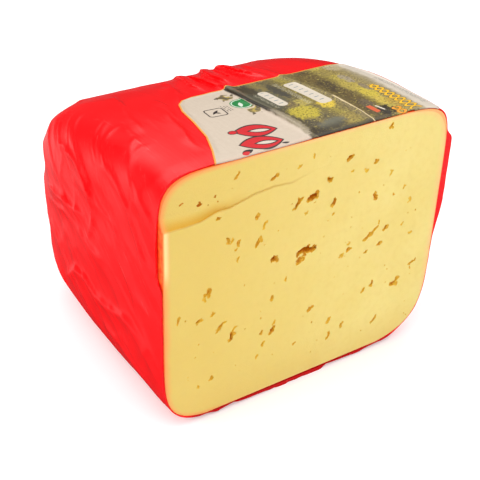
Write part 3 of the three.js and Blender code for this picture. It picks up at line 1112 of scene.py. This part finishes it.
def second_cut():
    """What the second cut took away: a slice with an uneven lower edge, the ledge."""
    low_x, high_x = LEDGE_LINE[0][0], LEDGE_LINE[-1][0]
    beyond = 30
    bm, across, up = grid(190, 24)
    x = low_x + (high_x - low_x) * across
    line = read_between(LEDGE_LINE, x)
    at = np.stack([x, np.zeros_like(x), np.full_like(x, 4.0)], axis=1)
    above = (HALF_HEIGHT + beyond - line) * up ** 3
    ragged = (0.15 + 0.35 * smoothstep(-58, -40, x)) * np.exp(-above)
    z = line + above + ragged * (noise_at(at, 1.3) + noise_at(at, 5, 9.0))
    step = 0.1 + 0.65 * smoothstep(-62, -46, x)
    hollow = step + (1 - step) * np.clip(above / LEDGE_HOLLOW, 0, 1) ** 0.8
    set_points(bm, np.stack([x, read_between(SECOND_CUT, x) * hollow, z], axis=1))
    made = bmesh.ops.extrude_face_region(bm, geom=bm.faces[:])
    for vert in [v for v in made["geom"] if isinstance(v, bmesh.types.BMVert)]:
        vert.co.y = -beyond
    bmesh.ops.recalc_face_normals(bm, faces=bm.faces)
    return bm


def cut_away(made, cutter_bm, materials):
    cutter = piece(cutter_bm, "cutter", materials)
    boolean = made.modifiers.new("cut", "BOOLEAN")
    boolean.operation = "DIFFERENCE"
    boolean.solver = "EXACT"
    boolean.use_self = True
    boolean.object = cutter
    apply_modifiers(made)
    bpy.data.objects.remove(cutter)


def shade(made):
    """Smooths the cheese, all but its creases, the eyes' rims and the wide flat of the cut."""
    bm = bmesh.new()
    bm.from_mesh(made.data)
    for face in bm.faces:
        face.smooth = True
    for edge in bm.edges:
        materials = {face.material_index for face in edge.link_faces}
        at_eye = EYE_WALL in materials and len(materials) > 1
        wide = max(face.calc_area() for face in edge.link_faces) > WIDE_FLAT * MM ** 2
        limit = math.radians(3 if wide else 35)
        edge.smooth = not at_eye and edge.calc_face_angle(0) < limit
    bm.to_mesh(made.data)
    bm.free()


def cheese():
    materials = [cheese_paste(), cheese_eye_wall(), cheese_side()]
    bm = wrapped(240, 70, block_points)
    for vert in bm.verts:
        vert.co.z = max(vert.co.z, CHEESE_UNDERSIDE)
    for face in bm.faces:
        face.material_index = SIDE
    rim = [e for e in bm.edges if e.is_boundary]
    for face in bmesh.ops.contextual_create(bm, geom=rim)["faces"]:
        face.material_index = PASTE
    bmesh.ops.recalc_face_normals(bm, faces=bm.faces)
    made = piece(bm, "cheese_block", materials)
    cut_away(made, second_cut(), materials)

    # The edges that the knife left are a little rounded.
    bm = bmesh.new()
    bm.from_mesh(made.data)
    bmesh.ops.remove_doubles(bm, verts=bm.verts, dist=0.01 * MM)
    front = CUT_MIDDLE.y + 6 * MM
    sharp = [e for e in bm.edges if len(e.link_faces) == 2 and e.calc_face_angle() > 0.9
             and max(v.co.y for v in e.verts) < front]
    bmesh.ops.bevel(bm, geom=sharp, offset=0.5 * MM, segments=2, profile=0.5, affect="EDGES", material=-1,
                    clamp_overlap=True)
    bm.to_mesh(made.data)
    bm.free()

    eyes = bmesh.new()
    for row in EYES:
        add_eye(eyes, *row)
    for _ in range(TINY_EYES):
        x = random.uniform(-0.88, 0.88) * HALF_WIDTH
        z = random.uniform(-0.85, 0.85) * HALF_HEIGHT
        length = random.uniform(0.6, 1.5)
        add_eye(eyes, x, z, length, length * random.uniform(0.4, 0.9), random.uniform(30, 90), 0.8)
    for face in eyes.faces:
        face.material_index = EYE_WALL
    cut_away(made, eyes, materials)
    shade(made)
    return made


# ---------- stage ----------

def in_place(x, y, z):
    """A point of the block's frame in metres."""
    return CUT_MIDDLE + Vector((x, y, z)) * MM


def camera():
    azimuth, elevation = math.radians(CAMERA_AZIMUTH), math.radians(CAMERA_ELEVATION)
    level = math.cos(elevation)
    ahead = Vector((math.sin(azimuth) * level, math.cos(azimuth) * level, -math.sin(elevation)))
    right = ahead.cross(Vector((0, 0, 1))).normalized()
    right = Matrix.Rotation(math.radians(CAMERA_ROLL), 3, ahead) @ right
    up = right.cross(ahead)
    turn = Matrix((right, up, -ahead)).transposed().to_4x4()
    made = add_object("camera", bpy.data.cameras.new("camera"))
    made.data.sensor_width = 36
    made.data.lens = CAMERA_LENS
    away = ahead * (CAMERA_DISTANCE * MM)
    made.matrix_world = Matrix.Translation(in_place(*CAMERA_AIM) - away) @ turn
    bpy.context.scene.camera = made


def softbox(name, place, size, power, in_reflections=True):
    light = bpy.data.lights.new(name, "AREA")
    light.shape = "RECTANGLE"
    light.size, light.size_y = size
    light.energy = power
    made = add_object(name, light)
    made.visible_glossy = in_reflections
    made.location = Vector(place)
    made.rotation_euler = (in_place(0, 60, 0) - made.location).to_track_quat("-Z", "Y").to_euler()


# How bright the tent over the table is, from straight below at 0 to straight overhead at 1.
TENT = [
    (0.0, 0.03), (0.18, 0.05), (0.25, 0.14), (0.31, 0.5), (0.36, 0.2), (0.43, 0.05), (0.68, 0.1),
    (0.77, 0.6), (0.83, 1.9), (1.0, 1.1),
]


def studio_world():
    """A pale tent: bright overhead, dim about the horizon and with a pale band below it."""
    nodes = Nodes(bpy.data.worlds.new("studio"), "Background")
    direction = nodes.add("ShaderNodeTexCoord", output="Generated")
    _, _, height = nodes.split(direction)
    stops = [(place, (level, level, level, 1)) for place, level in TENT]
    bpy.context.scene.world = nodes.finish({"Color": nodes.ramp(stops, height * 0.5 + 0.5)})


def stage():
    bm = bmesh.new()
    bmesh.ops.create_grid(bm, x_segments=1, y_segments=1, size=3)
    mesh = bpy.data.meshes.new("floor")
    bm.to_mesh(mesh)
    bm.free()
    mesh.materials.append(floor_paint())
    floor = add_object("floor", mesh)
    floor.location.z = FILM_LOW.z
    floor.visible_glossy = False
    softbox("key", (0.4, -1.2, 0.6), (0.8, 0.8), 2.9)
    softbox("top", (-0.2, 0.0, 1.5), (1.3, 1.3), 4.8, in_reflections=False)
    softbox("left", (-1.0, 0.4, 0.55), (0.9, 0.5), 6, in_reflections=False)
    studio_world()
    bpy.context.scene.view_settings.view_transform = "Standard"


# ---------- the object ----------

camera()
stage()
for made, node, slot in (
    (cheese(), "cheese", "cheese"),
    (film_wrap(), "film_wrap", "film"),
    (label(), "top_label", "label"),
):
    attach(made, "root")
    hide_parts(node)
